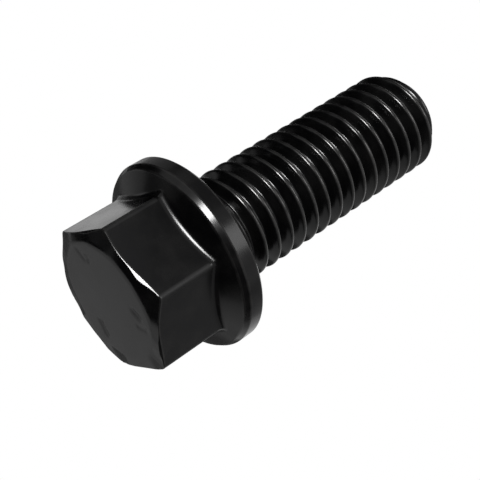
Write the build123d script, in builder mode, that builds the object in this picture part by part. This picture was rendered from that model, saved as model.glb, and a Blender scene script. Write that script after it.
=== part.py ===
from build123d import *
import os
from math import ceil, cos, pi, radians, sin, sqrt, tan

# Flange bolt, M8 x 1.25 x 22 with a 10 mm hexagon, forged and thread rolled from one steel blank.
# Millimetres. The axis is Z and the bearing face under the flange lies at z = 0. The head goes
# down from there to the flat end that the bolt stands on, and the shank goes up. Two corners of
# the hexagon lie on the X axis, so two of its flats are square to Y.

# Head: a hexagon with softened corners and a turned chamfer round its end
across_flats = 10.0
head_height = 7.4
corner_radius = 0.25
end_flat_diameter = 9.5
end_chamfer_angle = 30.0
foot_radius = 0.45

# Flange: a rim, chamfered where a cone leaves it for the hexagon and at the bearing face
flange_diameter = 14.0
rim_thickness = 1.5
cone_angle = 25.0
rim_edge_chamfer = 0.28
bearing_edge_chamfer = 0.2

# Shank: a neck left by the rolling, the right-hand thread, and the point
length_under_head = 22.0
neck_diameter = 7.2
neck_length = 1.25
neck_root_radius = 0.6
thread_diameter = 8.0
thread_pitch = 1.25
crest_height = 0.811  # where a crest crosses the X axis
run_out_length = 1.4
facet_angle = 12.0  # the thread is made of facets that each turn by this
ring_inset = 0.03  # the thread's first ring lies this far inside the neck, and the point inside its last
point_diameter = 6.0
point_length = 1.2
point_edge_radius = 0.25

# What follows from them
flange_radius = flange_diameter / 2
neck_radius = neck_diameter / 2
thread_radius = thread_diameter / 2
head_end_z = -head_height
end_flat_radius = end_flat_diameter / 2
outside_corner_radius = across_flats / sqrt(3)
cone_inner_radius = across_flats / 4
cone_inner_z = -rim_thickness - (flange_radius - cone_inner_radius) * tan(radians(cone_angle))
point_radius = point_diameter / 2
point_z = length_under_head - point_length
point_slope = (thread_radius - point_radius) / point_length
thread_end_z = length_under_head - point_edge_radius
thread_end_radius = point_radius + point_edge_radius * point_slope
facets = round(360 / facet_angle)
facet_rise = thread_pitch / facets

# The thread's section: 60 degrees between its flanks, a crest that is flat for an eighth of the
# pitch and a root that is flat for a quarter, as (distance along the axis, radius)
thread_depth = thread_pitch * sqrt(3) / 2 * 5 / 8
section = [
    (-thread_pitch / 16, thread_radius),
    (thread_pitch / 16, thread_radius),
    (thread_pitch * 3 / 8, thread_radius - thread_depth),
    (thread_pitch * 5 / 8, thread_radius - thread_depth),
]


def thread_corner(row, column):
    """A corner of the thread's facets. Rows follow the section along the axis and climb one pitch
    a turn, and columns go round. Past either end of the thread, a corner lies on a level ring."""
    turn, place = divmod(row, len(section))
    along, radius = section[place]
    height = crest_height + thread_pitch * (turn + column / facets) + along
    if height < neck_length + facet_rise / 2:
        height, radius = neck_length, neck_radius - ring_inset
    elif height > thread_end_z - facet_rise / 2:
        height, radius = thread_end_z, thread_end_radius
    else:
        grown = min(1, (height - neck_length) / run_out_length)
        radius = neck_radius + (radius - neck_radius) * grown
        radius = min(radius, thread_radius - (height - point_z) * point_slope)
    angle = 2 * pi * column / facets
    return (radius * cos(angle), radius * sin(angle), height)


os.makedirs("parts", exist_ok=True)

# The thread: two triangles between each four corners, and a flat polygon at each end
rows = range(-3 * len(section), ceil(length_under_head / thread_pitch + 1) * len(section))
facet_corners = []
for row in rows:
    for column in range(facets):
        a, b = thread_corner(row, column), thread_corner(row, column + 1)
        c, d = thread_corner(row + 1, column + 1), thread_corner(row + 1, column)
        facet_corners += [corners for corners in ((a, b, c), (a, c, d)) if len(set(corners)) == 3]
for row in (rows[0], rows[-1]):
    facet_corners.append([thread_corner(row, column) for column in range(facets)])
thread = Solid(Shell([Face(Wire.make_polygon(corners)) for corners in facet_corners]))

with BuildPart() as bolt:
    # The hexagon, from its end down into the flange
    with BuildSketch(Plane.XY.offset(head_end_z)) as hexagon:
        RegularPolygon(across_flats / 2, 6, major_radius=False)
        fillet(hexagon.vertices(), corner_radius)
    extrude(amount=head_height - rim_thickness)

    # The chamfer turned round its end takes the most from the corners
    chamfer_reach = outside_corner_radius - end_flat_radius + corner_radius
    with BuildSketch(Plane.XZ) as chamfer_cut:
        Polygon(
            (end_flat_radius, head_end_z),
            (end_flat_radius + chamfer_reach, head_end_z),
            (end_flat_radius + chamfer_reach, head_end_z + chamfer_reach * tan(radians(end_chamfer_angle))),
            align=None,
        )
    revolve(axis=Axis.Z, mode=Mode.SUBTRACT)

    # Flange and neck are one turned profile
    with BuildSketch(Plane.XZ) as turned:
        with BuildLine():
            Polyline(
                (0, cone_inner_z),
                (cone_inner_radius, cone_inner_z),
                (flange_radius, -rim_thickness),
                (flange_radius, 0),
                (neck_radius, 0),
                (neck_radius, neck_length),
                (0, neck_length),
                close=True,
            )
        make_face()
        rim_edges = turned.vertices().group_by(Axis.X)[-1].sort_by(Axis.Y)
        neck_root = turned.vertices().group_by(Axis.X)[-2].sort_by(Axis.Y)[0]
        chamfer(rim_edges[0], rim_edge_chamfer)
        chamfer(rim_edges[-1], bearing_edge_chamfer)
        fillet(neck_root, neck_root_radius)
    revolve(axis=Axis.Z)

    # The hexagon's foot runs into the cone of the flange
    fillet(bolt.edges(Select.NEW), foot_radius)

    # The thread stands on the neck, and the point on the thread
    add(thread)
    with BuildSketch(Plane.XZ) as point:
        with BuildLine():
            FilletPolyline(
                (0, thread_end_z),
                (thread_end_radius * cos(pi / facets) - ring_inset, thread_end_z),
                (point_radius, length_under_head),
                (0, length_under_head),
                radius=[0, 0, point_edge_radius, 0],
                close=True,
            )
        make_face()
    revolve(axis=Axis.Z)

bolt.part.label = "flange_bolt"
export_step(bolt.part, "parts/flange_bolt.step")
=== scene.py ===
import math
import bpy
import numpy as np
from mathutils import Matrix, Vector


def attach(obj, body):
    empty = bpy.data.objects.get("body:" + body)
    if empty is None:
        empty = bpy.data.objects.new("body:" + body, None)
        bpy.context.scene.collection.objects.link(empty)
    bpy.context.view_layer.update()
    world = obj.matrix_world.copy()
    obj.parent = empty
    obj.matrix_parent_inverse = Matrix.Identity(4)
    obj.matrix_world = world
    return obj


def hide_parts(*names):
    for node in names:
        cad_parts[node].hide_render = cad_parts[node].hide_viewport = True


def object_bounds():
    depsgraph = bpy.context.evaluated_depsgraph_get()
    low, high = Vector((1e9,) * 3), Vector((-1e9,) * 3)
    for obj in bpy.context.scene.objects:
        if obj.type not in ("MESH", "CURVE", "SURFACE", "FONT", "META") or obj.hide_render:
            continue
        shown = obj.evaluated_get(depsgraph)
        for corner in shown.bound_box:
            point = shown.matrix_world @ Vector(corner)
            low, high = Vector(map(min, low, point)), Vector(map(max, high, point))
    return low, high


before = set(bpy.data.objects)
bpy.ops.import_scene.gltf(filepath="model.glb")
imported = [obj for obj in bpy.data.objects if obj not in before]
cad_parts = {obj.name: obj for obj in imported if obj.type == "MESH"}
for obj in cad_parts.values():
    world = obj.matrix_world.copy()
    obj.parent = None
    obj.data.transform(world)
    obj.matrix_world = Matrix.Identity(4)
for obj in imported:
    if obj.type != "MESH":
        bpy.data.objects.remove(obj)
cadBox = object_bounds()
print("frame loaded")

mm = 0.001

# Camera: it looks up at the end of the head, turned so that the shank points up to the right
view = dict(
    aim=(1.25, 0.29, 3.48),  # mm, the point that the lens is centred on
    distance=77.7,
    azimuth=13.03,
    elevation=-30.54,
    roll=57.07,
    lens=83.3,
    nearest=5.0,
    farthest=5000.0,
)


def makeCamera(v):
    # stands at distance from the aim point along azimuth and elevation, then turns about its own axis
    az, el, roll = (math.radians(v[k]) for k in ("azimuth", "elevation", "roll"))
    back = Vector((math.sin(az) * math.cos(el), -math.cos(az) * math.cos(el), math.sin(el)))
    level = Vector((0, 0, 1)).cross(back).normalized()
    right = Matrix.Rotation(roll, 3, back) @ level
    up = back.cross(right)
    place = Vector(v["aim"]) * mm + back * v["distance"] * mm
    data = bpy.data.cameras.new("camera")
    data.lens = v["lens"]
    data.clip_start = v["nearest"] * mm
    data.clip_end = v["farthest"] * mm
    camera = bpy.data.objects.new("camera", data)
    turned = Matrix((right, up, back)).transposed().to_4x4()
    camera.matrix_world = Matrix.Translation(place) @ turned
    bpy.context.scene.collection.objects.link(camera)
    bpy.context.scene.camera = camera
    bpy.context.view_layer.update()


makeCamera(view)
print("camera made")


def makeObject(name, points, faces, smooth=True):
    # points is (n, 3) in metres; faces is a list of index lists
    mesh = bpy.data.meshes.new(name)
    mesh.from_pydata(points.tolist(), [], faces)
    mesh.update()
    mesh.polygons.foreach_set("use_smooth", np.full(len(mesh.polygons), smooth))
    piece = bpy.data.objects.new(name, mesh)
    bpy.context.scene.collection.objects.link(piece)
    return piece


def emptyMaterial(name):
    # a material with only its output: gives it, its nodes, its links and the socket that takes a shader
    material = bpy.data.materials.new(name)
    material.use_nodes = True
    nodes = material.node_tree.nodes
    nodes.clear()
    out = nodes.new("ShaderNodeOutputMaterial")
    return material, nodes, material.node_tree.links, out.inputs["Surface"]


# Bolt: sizes in mm, the main ones as in the CAD part, with the soft edges that forging and rolling leave.
# The frame gives the height of the head, the length under it and the flange's radius
bolt = dict(
    acrossFlats=10.0,
    headHeight=round(-cadBox[0][2] / mm, 3),
    cornerRadius=0.4,
    endFlatRadius=4.35,
    endEdgeRadius=1.2,
    cornerEnds=(-7.2, -7.1, -7.0, -6.84, -6.8, -6.7),  # where each corner ends, as the chamfer is uneven
    flatEndDip=0.3,  # each flat reaches this much lower between its corners
    flatEndSkew=0.5,  # and lowest a little to one side of its middle
    flatEndLeast=0.06,  # and no flat ends nearer than this to the end face
    drawnIn=0.12,  # the other side of each flat leans in by this at its end, as the forging draws it
    drawnLeast=0.018,
    drawnMiddle=0.65,  # where it leans in most, in radians that run from -pi/2 to pi/2 over a flat
    drawnWidth=0.46,
    drawnAngle=28.0,
    drawnEdgeRadius=0.03,
    chamferLeast=0.015,
    footRadius=0.6,
    flangeRadius=round(cadBox[1][0] / mm, 3),
    rimThickness=1.5,
    coneAngle=25.0,
    rimChamfer=0.28,
    rimEdgeRadius=0.25,
    bearingChamfer=0.2,
    bearingEdgeRadius=0.05,
    neckRadius=3.6,
    neckLength=1.25,
    neckRootRadius=0.6,
    length=round(cadBox[1][2] / mm, 3),
    threadRadius=4.0,
    pitch=1.25,
    crestPhase=0.811,  # height of a crest where it crosses the X axis
    crestWidth=0.23,  # where the flanks would meet the major diameter
    crestSoftness=0.07,
    rootRadius=0.12,
    runOutLength=1.45,  # the thread grows out of the neck to its full depth over this
    pointRadius=3.0,
    pointLength=1.2,
    pointSoftness=0.12,  # how far the crests ease into the point's cone
    pointEdgeRadius=0.25,
)

# Grid of the bolt's surface: where its columns and rows lie. Runs are fractions of the way between two
# edges, and rows are counted over each rounded edge
boltGrid = dict(
    flatColumns=22,
    cornerColumns=7,
    cornerEdge=0.245,  # degrees from a corner's arc to the column that holds it
    cornerHold=0.7,  # degrees from there to the first column of the flat
    poleRadius=0.25,  # mm, the ring round each pole
    endRun=np.linspace(0.02, 0.98, 48),
    shortRun=(0.1, 0.5, 0.9),
    flatRun=(0.03, 0.15, 0.32, 0.5, 0.68, 0.85, 0.97),
    coneRun=(0.06, 0.3, 0.6, 0.94),
    rimRun=(0.08, 0.5, 0.92),
    bearingRun=(0.03, 0.3, 0.6, 0.97),
    crestRows=np.array((0.35, 0.65, 0.85, 1.0, 1.17, 1.4, 1.85)),  # in halves of the crest's width
    flankRow=0.36,  # mm from the crest's middle
    rootRow=0.55,  # of the way from the root's middle to its edge
    neckRow=0.1,  # mm from the neck's last row to the thread
    threadTop=21.85,  # mm, the last height that the thread's own rows reach
    pointRun=np.linspace(0.06, 0.9, 8),
)

# Small dents in the end of the head: both ends of each on X and Y, its half width and its depth, in mm
endDents = [
    dict(start=(-3.75, -1.3), end=(-2.95, -1.2), halfWidth=0.14, depth=0.05),
    dict(start=(-3.15, -1.58), end=(-2.58, -1.5), halfWidth=0.13, depth=0.05),
    dict(start=(1.95, -2.08), end=(2.5, -2.17), halfWidth=0.2, depth=0.075),
    dict(start=(2.75, -1.3), end=(3.35, -1.85), halfWidth=0.14, depth=0.045),
    dict(start=(0.1, 2.92), end=(1.03, 3.48), halfWidth=0.16, depth=0.06),
]

# Wear and painted sheen: how far each rounded edge is rubbed, from 0 to 1. The crests are rubbed by how far
# out they reach, and a painted sheen of the same grey metal makes them brighter on the side that faces the
# side lamp. A spanner dulls the flats beside each corner, fully up to one angle from it and not past
# another
boltWearAndSheen = dict(
    edges=dict(lean=0.8, flatEnd=0.8, rimTop=0.35, rimSide=0.35, bearingSide=0.6, bearingFace=0.6),
    crestFrom=(3.9, 3.99),  # mm from the axis
    crestLeast=0.2,
    # painted sheen: the crests' grey metal is strongest toward this side, where the side lamp stands
    sheenSide=math.radians(300),  # from +X
    sheenFrom=(0.4, 0.75),  # cosines of the angle from that side
    scuffedWithin=(math.radians(1.6), math.radians(3.2)),
)


def cornerArcCentre():
    # distance from the axis to the middle of a corner's arc
    b = bolt
    return (b["acrossFlats"] / 2 - b["cornerRadius"]) / math.cos(math.pi / 6)


def fromCorner(angle):
    # angle from the nearest corner of the hexagon
    return (angle + math.pi / 6) % (math.pi / 3) - math.pi / 6


def turnedColumns():
    # angles round the axis, the first corner being on X: each sixth has its corner arc's own angles, even
    # steps over the flat, and a column that holds the corner on each side
    b, g = bolt, boltGrid
    turn = np.radians(np.linspace(-30, 30, g["cornerColumns"]))
    x = cornerArcCentre() + b["cornerRadius"] * np.cos(turn)
    y = b["cornerRadius"] * np.sin(turn)
    arc = np.degrees(np.arctan2(y, x))
    edge = arc[-1] + g["cornerEdge"]
    flatStart = edge + g["cornerHold"]
    even = np.linspace(flatStart, 60 - flatStart, g["flatColumns"])
    sixth = np.concatenate((arc, [edge], even, [60 - edge]))
    return np.radians(sixth[None, :] + 60 * np.arange(6)[:, None]).ravel()


def hexOutline(angle):
    # distance from the axis to the rounded hexagon: apothem over the cosine from the flat's middle, and
    # in the corners the far crossing with the corner's arc
    b = bolt
    centre = cornerArcCentre()
    away = fromCorner(angle)
    straight = b["acrossFlats"] / 2 / np.cos(np.abs(away) - math.pi / 6)
    side = centre * np.sin(away)
    arc = centre * np.cos(away) + np.sqrt(np.maximum(b["cornerRadius"] ** 2 - side**2, 0))
    tangent = math.atan2(b["cornerRadius"] / 2, centre + b["cornerRadius"] * math.cos(math.pi / 6))
    return np.where(np.abs(away) < tangent, arc, straight)


def unit(v):
    return v / np.linalg.norm(v, axis=1, keepdims=True)


def roundedProfile(stations):
    # each station is a name, its corner as (columns, 2) of radius and height, the radius that rounds it,
    # the rows over that arc, and the fractions of the run to the next station that get a row. An arc is
    # tangent to both runs. Gives the rows, and for each the name of the station whose arc it is on
    arcs = []
    for k, (_, here, rounding, arcRows, _) in enumerate(stations):
        if rounding == 0:
            arcs.append([here])
            continue
        toward = unit(stations[k - 1][1] - here)
        away = unit(stations[k + 1][1] - here)
        half = np.arccos(np.clip((toward * away).sum(1), -1, 1))[:, None] / 2
        centre = here + unit(toward + away) * rounding / np.sin(half)
        first = here + toward * rounding / np.tan(half) - centre
        last = here + away * rounding / np.tan(half) - centre
        sweep = math.pi - 2 * half
        part = np.linspace(0, 1, arcRows)[:, None, None]
        spread = first * np.sin((1 - part) * sweep) + last * np.sin(part * sweep)
        arcs.append(list(centre + spread / np.sin(sweep)))
    rows, onArc = [], []
    for k, (name, _, rounding, _, run) in enumerate(stations):
        rows += arcs[k]
        onArc += [name if rounding > 0 else ""] * len(arcs[k])
        rows += [arcs[k][-1] * (1 - part) + arcs[k + 1][0] * part for part in run]
        onArc += [""] * len(run)
    return np.array(rows), np.array(onArc)


def cornerAt(radius, height, angle):
    # a station's corner in every column
    return np.stack(np.broadcast_arrays(radius, height, angle)[:2], axis=1)


def softMin(a, c, k):
    # the smaller of two values, with the change from one to the other eased over k
    h = np.clip(0.5 + 0.5 * (c - a) / k, 0, 1)
    return c * (1 - h) + a * h - k * h * (1 - h)


def smoothBetween(x, low, high):
    t = np.clip((x - low) / (high - low), 0, 1)
    return t * t * (3 - 2 * t)


def onCircle(radius, angle, height):
    # points in mm at the given distances from the axis, angles round it and heights
    height = np.broadcast_to(height, np.broadcast(radius, angle, height).shape)
    return np.stack((radius * np.cos(angle), radius * np.sin(angle), height), axis=-1)


def pointConeAt(height):
    # distance from the axis to the cone of the bolt's point
    b = bolt
    slope = (b["threadRadius"] - b["pointRadius"]) / b["pointLength"]
    return b["threadRadius"] - (height - b["length"] + b["pointLength"]) * slope


def threadRadiusAt(height, angle):
    # distance from the axis to the thread: two 30 degree flanks cut softly at the crest and joined by an
    # arc at the root, grown out of the neck over the run-out and held inside the point's cone
    b = bolt
    turned = height - b["crestPhase"] - b["pitch"] * angle / (2 * math.pi)
    away = np.abs((turned / b["pitch"] + 0.5) % 1 - 0.5) * b["pitch"]
    flankTop = b["threadRadius"] + math.sqrt(3) * b["crestWidth"] / 2
    flank = flankTop - math.sqrt(3) * away
    k = b["crestSoftness"]
    crest = -k * np.log(np.exp(-flank / k) + np.exp(-b["threadRadius"] / k))
    crest += k * math.log(1 + math.exp((b["threadRadius"] - flankTop) / k))
    rootArc = b["rootRadius"]
    arcMiddle = flankTop - math.sqrt(3) * b["pitch"] / 2 + 2 * rootArc
    fromRoot = b["pitch"] / 2 - away
    root = arcMiddle - np.sqrt(np.maximum(rootArc**2 - fromRoot**2, 0))
    full = np.where(fromRoot < rootArc * math.cos(math.pi / 6), root, crest)
    growth = smoothBetween(height, b["neckLength"], b["neckLength"] + b["runOutLength"])
    grown = b["neckRadius"] + (full - b["neckRadius"]) * growth
    return softMin(grown, pointConeAt(height), b["pointSoftness"])


def dentDepth(x, y):
    # the sum of soft grooves: each falls off with the square of the distance from its line
    depth = np.zeros_like(x)
    for dent in endDents:
        (x0, y0), (x1, y1) = dent["start"], dent["end"]
        dx, dy = x1 - x0, y1 - y0
        along = np.clip(((x - x0) * dx + (y - y0) * dy) / (dx * dx + dy * dy), 0, 1)
        away = np.hypot(x - x0 - along * dx, y - y0 - along * dy)
        depth += dent["depth"] * np.exp(-((away / dent["halfWidth"]) ** 2))
    return depth


def flatEnds(angle):
    # where each column of the hexagon ends: the height at which the flat stops, how far the facet beyond it
    # leans in, and the height at which the chamfer starts. Between its corners a flat dips as a cosine, and
    # the facet leans in along a bell curve
    b = bolt
    endZ = -b["headHeight"]
    across = 3 * ((angle + math.pi / 3) % (math.pi / 3) - math.pi / 6)
    cornerEnd = np.interp(angle, np.arange(6) * math.pi / 3, b["cornerEnds"], period=2 * math.pi)
    flatEnd = cornerEnd - b["flatEndDip"] * np.cos(across) * (1 - b["flatEndSkew"] * np.sin(across))
    flatEnd = np.maximum(flatEnd, endZ + b["flatEndLeast"])
    slope = math.tan(math.radians(b["drawnAngle"]))
    bell = np.exp(-(((across - b["drawnMiddle"]) / b["drawnWidth"]) ** 2))
    drawn = b["drawnLeast"] + (b["drawnIn"] - b["drawnLeast"]) * bell
    drawn = np.minimum(drawn, (flatEnd - endZ - b["chamferLeast"]) * slope)
    return flatEnd, drawn, flatEnd - drawn / slope


def headRows(angle):
    # head, flange and neck from the end of the head up: every column has the same rows, and only the
    # hexagon's radius and its end change from column to column
    b, g = bolt, boltGrid
    endZ = -b["headHeight"]
    outline = hexOutline(angle)
    flatEnd, drawn, facetEnd = flatEnds(angle)
    cone = math.radians(b["coneAngle"])
    rimTopZ = -b["rimThickness"] - b["rimChamfer"] * math.sin(cone)
    footZ = -b["rimThickness"] - (b["flangeRadius"] - outline) * math.tan(cone)

    def at(radius, height):
        return cornerAt(radius, height, angle)

    rimTop = at(b["flangeRadius"] - b["rimChamfer"] * math.cos(cone), rimTopZ)
    rimSide = at(b["flangeRadius"], -b["rimThickness"] + b["rimChamfer"])
    bearingSide = at(b["flangeRadius"], -b["bearingChamfer"])
    bearingFace = at(b["flangeRadius"] - b["bearingChamfer"], 0)
    rows, onArc = roundedProfile([
        ("", at(g["poleRadius"], endZ), 0, 0, g["endRun"]),
        ("end", at(b["endFlatRadius"], endZ), b["endEdgeRadius"], 6, g["shortRun"]),
        ("lean", at(outline - drawn, facetEnd), b["drawnEdgeRadius"], 5, g["shortRun"]),
        ("flatEnd", at(outline, flatEnd), b["drawnEdgeRadius"], 5, g["flatRun"]),
        ("foot", at(outline, footZ), b["footRadius"], 12, g["coneRun"]),
        ("rimTop", rimTop, b["rimEdgeRadius"], 6, g["rimRun"]),
        ("rimSide", rimSide, b["rimEdgeRadius"], 6, g["rimRun"]),
        ("bearingSide", bearingSide, b["bearingEdgeRadius"], 4, (0.5,)),
        ("bearingFace", bearingFace, b["bearingEdgeRadius"], 4, g["bearingRun"]),
        ("neckRoot", at(b["neckRadius"], 0), b["neckRootRadius"], 10, (0.1, 0.5)),
        ("", at(b["neckRadius"], b["neckLength"] - g["neckRow"]), 0, 0, ()),
        ("", at(b["neckRadius"], b["neckLength"]), 0, 0, ()),
    ])
    points = onCircle(rows[:, :, 0], angle, rows[:, :, 1])
    flat = (rows[:, :, 1] < endZ + 1e-6).all(axis=1)
    points[flat, :, 2] += dentDepth(points[flat, :, 0], points[flat, :, 1])
    return points, onArc


def threadSection():
    # heights of the thread's rows over one pitch, from a crest's middle to just under the next
    b, g = bolt, boltGrid
    rootEdge = b["rootRadius"] * math.cos(math.pi / 6)
    half = b["pitch"] / 2
    crest = b["crestWidth"] / 2 * g["crestRows"]
    side = np.concatenate((crest, [g["flankRow"], half - rootEdge, half - rootEdge * g["rootRow"]]))
    return np.concatenate(([0], side, [half], b["pitch"] - side[::-1]))


def threadRows(angle):
    # the height of each thread row at angle 0, and the points of the rows, which climb one pitch a turn.
    # Two spare turns at each end are cut off where the faces are made
    b = bolt
    turns = np.arange(-2, int(boltGrid["threadTop"] / b["pitch"]) + 3)
    starts = (threadSection()[None, :] + b["pitch"] * turns[:, None] + b["crestPhase"]).ravel()
    height = starts[:, None] + b["pitch"] * angle[None, :] / (2 * math.pi)
    return starts, onCircle(threadRadiusAt(height, angle), angle, height)


def pointRows(angle):
    # level rows from the thread's top over the rounded edge to the middle of the bolt's end
    b, g = bolt, boltGrid
    top, end = g["threadTop"], b["length"]
    rows, _ = roundedProfile([
        ("", cornerAt(pointConeAt(top), top, angle), 0, 0, (0.5,)),
        ("end", cornerAt(b["pointRadius"], end, angle), b["pointEdgeRadius"], 8, g["pointRun"]),
        ("", cornerAt(g["poleRadius"], end, angle), 0, 0, ()),
    ])
    return onCircle(rows[:, :, 0], angle, rows[:, :, 1])


def quadsOf(ids):
    # one quad for each cell of a grid of point numbers
    corners = (ids[:-1, :-1], ids[:-1, 1:], ids[1:, 1:], ids[1:, :-1])
    return np.stack([c.ravel() for c in corners], axis=1)


def closed(ids):
    # the first column again after the last
    return np.hstack((ids, ids[:, :1]))


def boltFaces(head, starts, thread, point):
    # point numbers of every face: level rows for the head and the point, the climbing rows between them,
    # which stop on the neck's ring and on the point's first ring, and a fan round each pole
    b = bolt
    columns = head.shape[1]
    headIds = np.arange(head.shape[0] * columns).reshape(-1, columns)
    threadIds = headIds.size + np.arange(thread.shape[0] * columns).reshape(-1, columns)
    pointIds = headIds.size + threadIds.size + np.arange(point.shape[0] * columns).reshape(-1, columns)
    endPole = headIds.size + threadIds.size + pointIds.size
    pointPole = endPole + 1
    halfStep = b["pitch"] / columns / 2
    low, high = b["neckLength"] + halfStep, boltGrid["threadTop"] - halfStep
    threadIds = np.where(thread[:, :, 2] < low, headIds[-1], threadIds)
    threadIds = np.where(thread[:, :, 2] > high, pointIds[0], threadIds)

    # the seam: after one turn a thread row meets the row one pitch higher
    perPitch = len(threadSection())
    seam = np.concatenate((threadIds[perPitch:, 0], np.full(perPitch, pointIds[0, 0])))
    seam = np.where(starts + b["pitch"] < low, headIds[-1, 0], seam)
    spiral = np.hstack((threadIds, seam[:, None]))
    quads = np.concatenate((quadsOf(closed(headIds)), quadsOf(spiral), quadsOf(closed(pointIds))))

    # a quad that the level rings close to three corners becomes a triangle, and one closed further goes
    following = np.roll(quads, -1, axis=1)
    cornersLeft = (quads != following).sum(1)
    threes = quads[cornersLeft == 3]
    threes = threes[threes != np.roll(threes, -1, axis=1)].reshape(-1, 3)
    fours = quads[cornersLeft == 4]
    fours = fours[(fours[:, 0] != fours[:, 2]) & (fours[:, 1] != fours[:, 3])]
    around = np.roll(np.arange(columns), -1)
    fans = np.concatenate((
        np.stack((np.full(columns, endPole), headIds[0][around], headIds[0]), axis=1),
        np.stack((np.full(columns, pointPole), pointIds[-1], pointIds[-1][around]), axis=1),
    ))
    return fours, np.concatenate((threes, fans))


def wearAndSheenAt(angle, onArc, thread):
    # wear of the head's rounded outer edges, and of the thread's crests with a painted sheen that is
    # strongest on the side lamp's side
    w = boltWearAndSheen
    edges = np.array([w["edges"].get(name, 0) for name in onArc.tolist()])
    fromAxis = np.hypot(thread[:, :, 0], thread[:, :, 1])
    # painted sheen: crests that face the side lamp get more of the grey metal, those on the far side less
    towardSideLamp = smoothBetween(np.cos(angle - w["sheenSide"]), *w["sheenFrom"])
    share = w["crestLeast"] + (1 - w["crestLeast"]) * towardSideLamp
    crests = smoothBetween(fromAxis, *w["crestFrom"]) * share
    return np.repeat(edges, len(angle)), crests.ravel()


def scuffedAt(angle, onArc):
    # 1 along the hexagon's long corners and 0 elsewhere on the head
    corner = 1 - smoothBetween(np.abs(fromCorner(angle)), *boltWearAndSheen["scuffedWithin"])
    row = np.arange(len(onArc))
    onFlat = (row > np.flatnonzero(onArc == "flatEnd")[-1]) & (row < np.flatnonzero(onArc == "foot")[0])
    return (onFlat[:, None] * corner[None, :]).ravel()


def makeBolt():
    b = bolt
    angle = turnedColumns()
    head, onArc = headRows(angle)
    starts, thread = threadRows(angle)
    point = pointRows(angle)
    poles = ((0, 0, -b["headHeight"]), (0, 0, b["length"]))
    points = np.concatenate((head.reshape(-1, 3), thread.reshape(-1, 3), point.reshape(-1, 3), poles))
    fours, threes = boltFaces(head, starts, thread, point)
    wornHead, crestWearAndSheen = wearAndSheenAt(angle, onArc, thread)
    scuffedHead = scuffedAt(angle, onArc)
    rest = len(points) - len(wornHead) - len(crestWearAndSheen)
    wearAndSheen = np.concatenate((wornHead, crestWearAndSheen, np.zeros(rest)))
    scuffed = np.concatenate((scuffedHead, np.zeros(len(points) - len(scuffedHead))))

    # the points that no face uses are left out
    used = np.zeros(len(points), bool)
    used[fours.ravel()] = True
    used[threes.ravel()] = True
    renumber = np.cumsum(used) - 1
    faces = renumber[fours].tolist() + renumber[threes].tolist()
    piece = makeObject("flangeBolt", points[used] * mm, faces)
    for name, values in (("wearAndSheen", wearAndSheen), ("scuffed", scuffed)):
        layer = piece.data.attributes.new(name, "FLOAT", "POINT")
        layer.data.foreach_set("value", values[used].astype(np.float32))
    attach(piece, "root")
    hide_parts("flange_bolt")
    return piece


boltPiece = makeBolt()
print("bolt made,", len(boltPiece.data.polygons), "faces")

# Black oxide on forged and rolled steel: the patterns' scales are in marks for each metre
blackOxide = dict(
    colour=(0.0022, 0.0022, 0.0025),
    paleColour=(0.0060, 0.0058, 0.0058),
    wornAndSheenColour=(0.055, 0.054, 0.053),
    specular=0.155,
    smooth=0.16,
    dull=0.26,
    scuffDulling=0.3,
    cloudScale=380,
    cloudDetail=5,
    cloudRoughness=0.55,
    paleBetween=(0.35, 0.7),
    dullBetween=(0.3, 0.72),
    patchScale=1520,
    patchDetail=4,
    patchBetween=(0.3, 0.62),
    patchLeast=0.35,
    grainScale=9000,
    grainDetail=3,
    grainDepth=0.0000004,
    wearAndSheenStrength=0.6,
)


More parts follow.
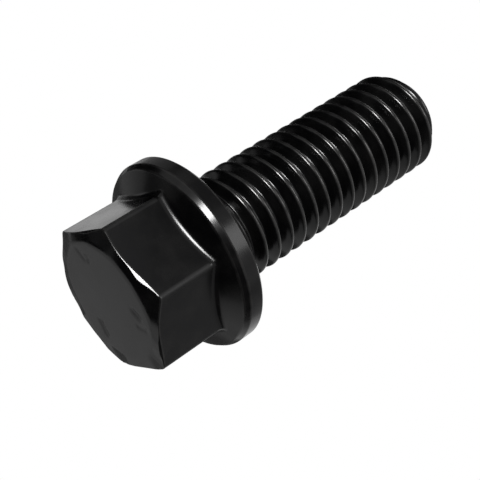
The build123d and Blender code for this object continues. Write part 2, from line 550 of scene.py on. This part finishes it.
def makeBlackOxide(m):
    material, nodes, links, surface = emptyMaterial("blackOxide")
    shader = nodes.new("ShaderNodeBsdfPrincipled")
    shader.inputs["Specular IOR Level"].default_value = m["specular"]
    links.new(shader.outputs["BSDF"], surface)
    place = nodes.new("ShaderNodeTexCoord")

    def noise(scale, detail, rough=0.5):
        n = nodes.new("ShaderNodeTexNoise")
        n.inputs["Scale"].default_value = scale
        n.inputs["Detail"].default_value = detail
        n.inputs["Roughness"].default_value = rough
        links.new(place.outputs["Object"], n.inputs["Vector"])
        return n.outputs["Fac"]

    def attribute(name):
        n = nodes.new("ShaderNodeAttribute")
        n.attribute_name = name
        return n.outputs["Fac"]

    def ranged(value, between, low, high):
        n = nodes.new("ShaderNodeMapRange")
        n.interpolation_type = "SMOOTHSTEP"
        n.inputs["From Min"].default_value = between[0]
        n.inputs["From Max"].default_value = between[1]
        n.inputs["To Min"].default_value = low
        n.inputs["To Max"].default_value = high
        links.new(value, n.inputs["Value"])
        return n.outputs["Result"]

    def mixed(factor, a, b):
        n = nodes.new("ShaderNodeMix")
        n.data_type = "RGBA"
        links.new(factor, n.inputs["Factor"])
        for socket, colour in (("A", a), ("B", b)):
            if isinstance(colour, tuple):
                n.inputs[socket].default_value = (*colour, 1)
            else:
                links.new(colour, n.inputs[socket])
        return n.outputs["Result"]

    def combined(operation, a, b):
        n = nodes.new("ShaderNodeMath")
        n.operation = operation
        links.new(a, n.inputs[0])
        if isinstance(b, float):
            n.inputs[1].default_value = b
        else:
            links.new(b, n.inputs[1])
        return n.outputs[0]

    # the oxide is a little paler and duller in soft clouds
    cloud = noise(m["cloudScale"], m["cloudDetail"], m["cloudRoughness"])
    clouded = mixed(ranged(cloud, m["paleBetween"], 0.0, 1.0), m["colour"], m["paleColour"])

    # the outer edges are rubbed, more in some places than in others, down to grey metal; on the crests the
    # same grey metal is also a painted sheen on the side lamp's side
    patchy = ranged(noise(m["patchScale"], m["patchDetail"]), m["patchBetween"], m["patchLeast"], 1.0)
    wearAndSheenMix = combined("MULTIPLY", combined("MULTIPLY", attribute("wearAndSheen"), patchy), m["wearAndSheenStrength"])
    links.new(mixed(wearAndSheenMix, clouded, m["wornAndSheenColour"]), shader.inputs["Base Color"])
    links.new(wearAndSheenMix, shader.inputs["Metallic"])

    # the corners that a spanner holds are duller
    finish = ranged(cloud, m["dullBetween"], m["smooth"], m["dull"])
    scuffing = combined("MULTIPLY", attribute("scuffed"), m["scuffDulling"])
    links.new(combined("ADD", finish, scuffing), shader.inputs["Roughness"])

    # fine grain of the oxide
    bump = nodes.new("ShaderNodeBump")
    bump.inputs["Distance"].default_value = m["grainDepth"]
    links.new(noise(m["grainScale"], m["grainDetail"]), bump.inputs["Height"])
    links.new(bump.outputs["Normal"], shader.inputs["Normal"])
    return material


boltPiece.data.materials.append(makeBlackOxide(blackOxide))

# Floor: a pale disc that the head stands on, open under the end of the head, and seen only from above
floorSizes = dict(
    height=-bolt["headHeight"] - 0.02,  # just clear of the end face
    openRadius=4.6,
    radius=600.0,
    rings=24,
    sides=96,
    colour=(0.86, 0.86, 0.86),
)


def makeFloor(f):
    # rings grow evenly in proportion from the opening to the rim
    angle = np.linspace(0, 2 * math.pi, f["sides"] + 1)[:-1]
    ring = f["openRadius"] * (f["radius"] / f["openRadius"]) ** np.linspace(0, 1, f["rings"])
    points = onCircle(ring[:, None], angle, f["height"])
    ids = closed(np.arange(points.shape[0] * points.shape[1]).reshape(points.shape[:2]))
    upward = quadsOf(ids)[:, ::-1]
    floor = makeObject("floor", points.reshape(-1, 3) * mm, upward.tolist(), smooth=False)
    material, nodes, links, surface = emptyMaterial("floorPaper")
    paper = nodes.new("ShaderNodeBsdfDiffuse")
    paper.inputs["Color"].default_value = (*f["colour"], 1)
    clear = nodes.new("ShaderNodeBsdfTransparent")
    side = nodes.new("ShaderNodeNewGeometry")
    mix = nodes.new("ShaderNodeMixShader")
    links.new(side.outputs["Backfacing"], mix.inputs["Fac"])
    links.new(paper.outputs["BSDF"], mix.inputs[1])
    links.new(clear.outputs["BSDF"], mix.inputs[2])
    links.new(mix.outputs["Shader"], surface)
    floor.data.materials.append(material)
    floor.visible_shadow = False
    floor.visible_glossy = False
    floor.visible_diffuse = False


makeFloor(floorSizes)
print("floor made")

# World: white where the camera, a reflection or a clear floor shows it, and a softer grey as light
worldLight = dict(strength=0.55)


def makeWorld(w):
    world = bpy.data.worlds.new("studio")
    bpy.context.scene.world = world
    world.use_nodes = True
    nodes, links = world.node_tree.nodes, world.node_tree.links
    nodes.clear()
    out = nodes.new("ShaderNodeOutputWorld")
    back = nodes.new("ShaderNodeBackground")
    back.inputs["Color"].default_value = (1, 1, 1, 1)
    ray = nodes.new("ShaderNodeLightPath")

    def larger(a, b):
        n = nodes.new("ShaderNodeMath")
        n.operation = "MAXIMUM"
        links.new(a, n.inputs[0])
        links.new(b, n.inputs[1])
        return n.outputs[0]

    seen = larger(ray.outputs["Is Camera Ray"], ray.outputs["Is Glossy Ray"])
    seen = larger(seen, ray.outputs["Is Transmission Ray"])
    level = nodes.new("ShaderNodeMapRange")
    level.inputs["To Min"].default_value = w["strength"]
    level.inputs["To Max"].default_value = 1
    links.new(seen, level.inputs["Value"])
    links.new(level.outputs["Result"], back.inputs["Strength"])
    links.new(back.outputs["Background"], out.inputs["Surface"])


makeWorld(worldLight)

# Lamps: the way to each from the bolt, its distance and size in mm, how bright its face is, and whether it
# lights the bolt and the floor or only shows in reflections
lamps = dict(
    near=dict(way=(-0.166, -0.855, -0.492), distance=150, size=(42, 56), brightness=110, lights=False),
    side=dict(way=(0.42, -0.75, 0.51), distance=300, size=(130, 170), brightness=7, lights=True),
    over=dict(way=(-0.75, -0.2, 1.0), distance=400, size=(260, 260), brightness=3, lights=True),
)


def makeLamp(name, v):
    # the power of an area lamp is its brightness times pi for each square metre of its face
    data = bpy.data.lights.new(name, "AREA")
    data.shape = "RECTANGLE"
    data.size, data.size_y = v["size"][0] * mm, v["size"][1] * mm
    data.energy = v["brightness"] * math.pi * data.size * data.size_y
    lamp = bpy.data.objects.new(name, data)
    way = Vector(v["way"]).normalized()
    lamp.location = way * v["distance"] * mm
    lamp.rotation_mode = "QUATERNION"
    lamp.rotation_quaternion = way.to_track_quat("Z", "Y")
    lamp.visible_diffuse = v["lights"]
    bpy.context.scene.collection.objects.link(lamp)


for name, values in lamps.items():
    makeLamp(name, values)
print("lamps made")

# Cards, as a studio stands them round a glossy black thing: only reflections see them, and each is named
# for where it stands or for what reflects it. The upright ones stand square to an azimuth, with their
# sides and heights in mm, and the round ones face the bolt. Grey is 0 for black and 1 for white
uprightCards = dict(
    cardUpper=dict(azimuth=180, distance=30, sides=(-32, 40), heights=(19, 75), grey=0.0),
    cardRim=dict(azimuth=180, distance=30, sides=(9, 45), heights=(4, 19), grey=0.0),
    cardLower=dict(azimuth=180, distance=30, sides=(-10, 9), heights=(-27, 11.5), grey=0.0),
    cardCorner=dict(azimuth=180, distance=30, sides=(-43, -24), heights=(-62, -21), grey=0.0),
    cardRimTop=dict(azimuth=180, distance=31, sides=(-20, 10), heights=(11, 22), grey=0.32),
    cardCone=dict(azimuth=180, distance=31, sides=(-36, -15), heights=(-26, -9.5), grey=0.54),
    cardRimSide=dict(azimuth=225, distance=30, sides=(-9, 24), heights=(9.5, 24), grey=0.36),
    cardGap=dict(azimuth=180, distance=32, sides=(-23, -9), heights=(-10, 8.5), grey=0.05),
    cardConeTop=dict(azimuth=180, distance=31.5, sides=(-26, -9), heights=(-62, -22), grey=0.16),
    cardFoot=dict(azimuth=8, distance=31, sides=(-17, 12), heights=(-30, -4.5), grey=0.05),
    cardRimLow=dict(azimuth=320, distance=33, sides=(-20, 20), heights=(-27, -12), grey=0.05),
    cardRimRight=dict(azimuth=345, distance=33, sides=(-16, 8), heights=(9, 22), grey=1.0),
    cardRight=dict(azimuth=8, distance=31, sides=(-17, 17), heights=(-4, 20), grey=0.5),
    cardBehind=dict(azimuth=95, distance=150, sides=(-75, 75), heights=(-130, 20), grey=0.59),
    cardFar=dict(azimuth=95, distance=149, sides=(-80, 120), heights=(-44, 70), grey=0.12),
)
roundCards = dict(
    cardUnder=dict(way=(0.1, -0.15, -1.0), distance=250, radius=250, grey=0.0),
    cardOver=dict(way=(-0.08, 0.33, 0.94), distance=200, radius=85, grey=0.1),
)


def makeCard(name, points, grey):
    card = makeObject(name, points * mm, [list(range(len(points)))], smooth=False)
    material, nodes, links, surface = emptyMaterial(name)
    paper = nodes.new("ShaderNodeEmission")
    paper.inputs["Color"].default_value = (grey, grey, grey, 1)
    links.new(paper.outputs["Emission"], surface)
    card.data.materials.append(material)
    card.visible_camera = False
    card.visible_shadow = False
    card.visible_diffuse = False


def makeUprightCard(name, v):
    turn = math.radians(v["azimuth"])
    cos, sin = math.cos(turn), math.sin(turn)
    (left, right), (low, high) = v["sides"], v["heights"]
    side = np.array((left, left, right, right))
    height = np.array((low, high, high, low))
    x = v["distance"] * cos - side * sin
    y = v["distance"] * sin + side * cos
    makeCard(name, np.stack((x, y, height), axis=1), v["grey"])


def makeRoundCard(name, v, sides=64):
    turn = np.linspace(0, 2 * math.pi, sides + 1)[:-1]
    flat = onCircle(v["radius"], turn, 0.0)
    way = Vector(v["way"]).normalized()
    tilted = flat @ np.array(way.to_track_quat("Z", "Y").to_matrix()).T
    makeCard(name, tilted + np.array(way) * v["distance"], v["grey"])


for name, values in uprightCards.items():
    makeUprightCard(name, values)
for name, values in roundCards.items():
    makeRoundCard(name, values)
print("cards made")

scene = bpy.context.scene
scene.view_settings.view_transform = "Standard"
